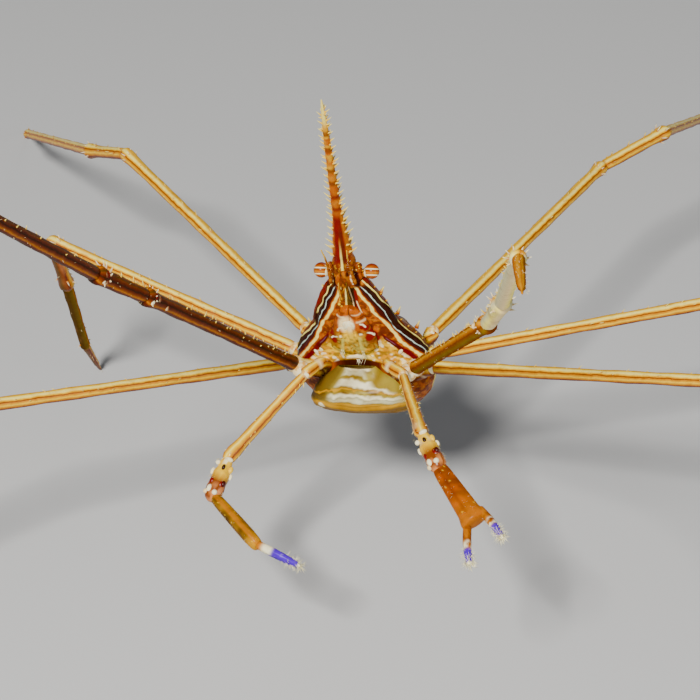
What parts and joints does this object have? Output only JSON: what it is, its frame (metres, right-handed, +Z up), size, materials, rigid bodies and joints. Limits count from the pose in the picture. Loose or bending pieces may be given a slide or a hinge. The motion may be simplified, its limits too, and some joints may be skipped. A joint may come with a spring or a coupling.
{
  "type": "arrow crab",
  "caption": "Long-legged arrow crab with a wedge body, a long spiny snout, slender clawed arms and spined walking legs, a still, life-size model standing on its leg tips.",
  "frame": {"origin": "bottom centre of the bounding box, on the floor that the leg tips stand on", "axes": "+Z up, the crab faces -Y with its snout up, +X to its left side"},
  "size_m": [0.1532, 0.1658, 0.0855],
  "materials": {
    "shell": "glossy wet shell, striped",
    "belly": "glossy wet shell, mottled",
    "tail": "glossy wet shell, banded",
    "snout": "glossy wet shell, banded",
    "leg": "glossy wet shell, striped",
    "claw": "glossy wet shell",
    "feeler": "glossy wet shell",
    "eye": "glossy, banded"
  },
  "bodies": {
    "root": {"abdomen": "tail", "antenna_left": "feeler", "antenna_right": "feeler", "antennule_left": "feeler", "antennule_right": "feeler", "carapace": "shell", "cheliped_left_carpus": "leg", "cheliped_left_finger": "claw", "cheliped_left_merus": "leg", "cheliped_left_palm": "claw", "cheliped_right_carpus": "leg", "cheliped_right_finger": "claw", "cheliped_right_merus": "leg", "cheliped_right_palm": "claw", "eye_left": "eye", "eye_right": "eye", "leg2_left_carpus": "leg", "leg2_left_dactylus": "leg", "leg2_left_merus": "leg", "leg2_left_propodus": "leg", "leg2_right_carpus": "leg", "leg2_right_dactylus": "leg", "leg2_right_merus": "leg", "leg2_right_propodus": "leg", "leg3_left_carpus": "leg", "leg3_left_dactylus": "leg", "leg3_left_merus": "leg", "leg3_left_propodus": "leg", "leg3_right_carpus": "leg", "leg3_right_dactylus": "leg", "leg3_right_merus": "leg", "leg3_right_propodus": "leg", "leg4_left_carpus": "leg", "leg4_left_dactylus": "leg", "leg4_left_merus": "leg", "leg4_left_propodus": "leg", "leg4_right_carpus": "leg", "leg4_right_dactylus": "leg", "leg4_right_merus": "leg", "leg4_right_propodus": "leg", "leg5_left_carpus": "leg", "leg5_left_dactylus": "leg", "leg5_left_merus": "leg", "leg5_left_propodus": "leg", "leg5_right_carpus": "leg", "leg5_right_dactylus": "leg", "leg5_right_merus": "leg", "leg5_right_propodus": "leg", "maxilliped_left": "belly", "maxilliped_right": "belly", "rostrum": "snout", "thorax": "belly"}
  },
  "joints": []
}
